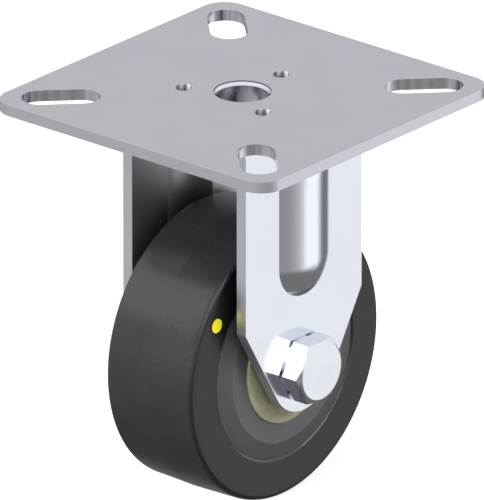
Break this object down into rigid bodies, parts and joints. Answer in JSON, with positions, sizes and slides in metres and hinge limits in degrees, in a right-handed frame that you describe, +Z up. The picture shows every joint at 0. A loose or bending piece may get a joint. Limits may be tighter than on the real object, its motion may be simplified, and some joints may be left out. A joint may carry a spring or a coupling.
{
  "type": "fixed castor",
  "caption": "Fixed castor: square slotted top plate, U-shaped pressed steel fork with beaded legs, and an elastic-tyred wheel turning on a hexagon axle bolt.",
  "frame": {"origin": "centre of the top plate's upper face, the face that is screwed to the equipment", "axes": "+Z up out of the plate, X along the axle with the bolt's head at +X, Y along the rolling direction"},
  "size_m": [0.097, 0.097, 0.1143],
  "materials": {
    "zinc_steel": "bright zinc plated",
    "turned_steel": "turned",
    "bearing_steel": "ground",
    "tyre_rubber": "satin",
    "core_plastic": "moulded",
    "cover_beige": "moulded",
    "mark_yellow": "glossy",
    "nylon": "satin",
    "cage_plastic": "moulded"
  },
  "bodies": {
    "frame": {"top_plate": "zinc_steel", "fork": "zinc_steel", "axle_bolt": "zinc_steel", "lock_nut": "zinc_steel", "lock_nut_ring": "nylon", "spacer_sleeve": "turned_steel", "bush_front": "turned_steel", "bush_rear": "turned_steel", "inner_ring_front": "bearing_steel", "inner_ring_rear": "bearing_steel"},
    "wheel": {"tyre": "tyre_rubber", "wheel_core": "core_plastic", "conductive_mark": "mark_yellow", "hub_cover_front": "cover_beige", "hub_cover_rear": "cover_beige", "outer_ring_front": "bearing_steel", "outer_ring_rear": "bearing_steel", "shield_front_outer": "bearing_steel", "shield_front_inner": "bearing_steel", "shield_rear_outer": "bearing_steel", "shield_rear_inner": "bearing_steel"},
    "cage_front": {"cage_front": "cage_plastic", "ball_front_1": "bearing_steel", "ball_front_2": "bearing_steel", "ball_front_3": "bearing_steel", "ball_front_4": "bearing_steel", "ball_front_5": "bearing_steel", "ball_front_6": "bearing_steel", "ball_front_7": "bearing_steel", "ball_front_8": "bearing_steel", "ball_front_9": "bearing_steel"},
    "cage_rear": {"cage_rear": "cage_plastic", "ball_rear_1": "bearing_steel", "ball_rear_2": "bearing_steel", "ball_rear_3": "bearing_steel", "ball_rear_4": "bearing_steel", "ball_rear_5": "bearing_steel", "ball_rear_6": "bearing_steel", "ball_rear_7": "bearing_steel", "ball_rear_8": "bearing_steel", "ball_rear_9": "bearing_steel"}
  },
  "joints": [
    {"name": "wheel_spin", "type": "hinge", "parent": "frame", "child": "wheel", "pos_m": [0, 0, -0.0743], "axis": [1, 0, 0], "continuous": true},
    {"name": "cage_front_orbit", "type": "hinge", "parent": "frame", "child": "cage_front", "pos_m": [0.0105, 0, -0.0743], "axis": [1, 0, 0], "continuous": true},
    {"name": "cage_rear_orbit", "type": "hinge", "parent": "frame", "child": "cage_rear", "pos_m": [-0.0105, 0, -0.0743], "axis": [1, 0, 0], "continuous": true}
  ],
  "couplings": [
    {"joint": "cage_front_orbit", "follows": "wheel_spin", "ratio": 0.60132},
    {"joint": "cage_rear_orbit", "follows": "wheel_spin", "ratio": 0.60132}
  ]
}
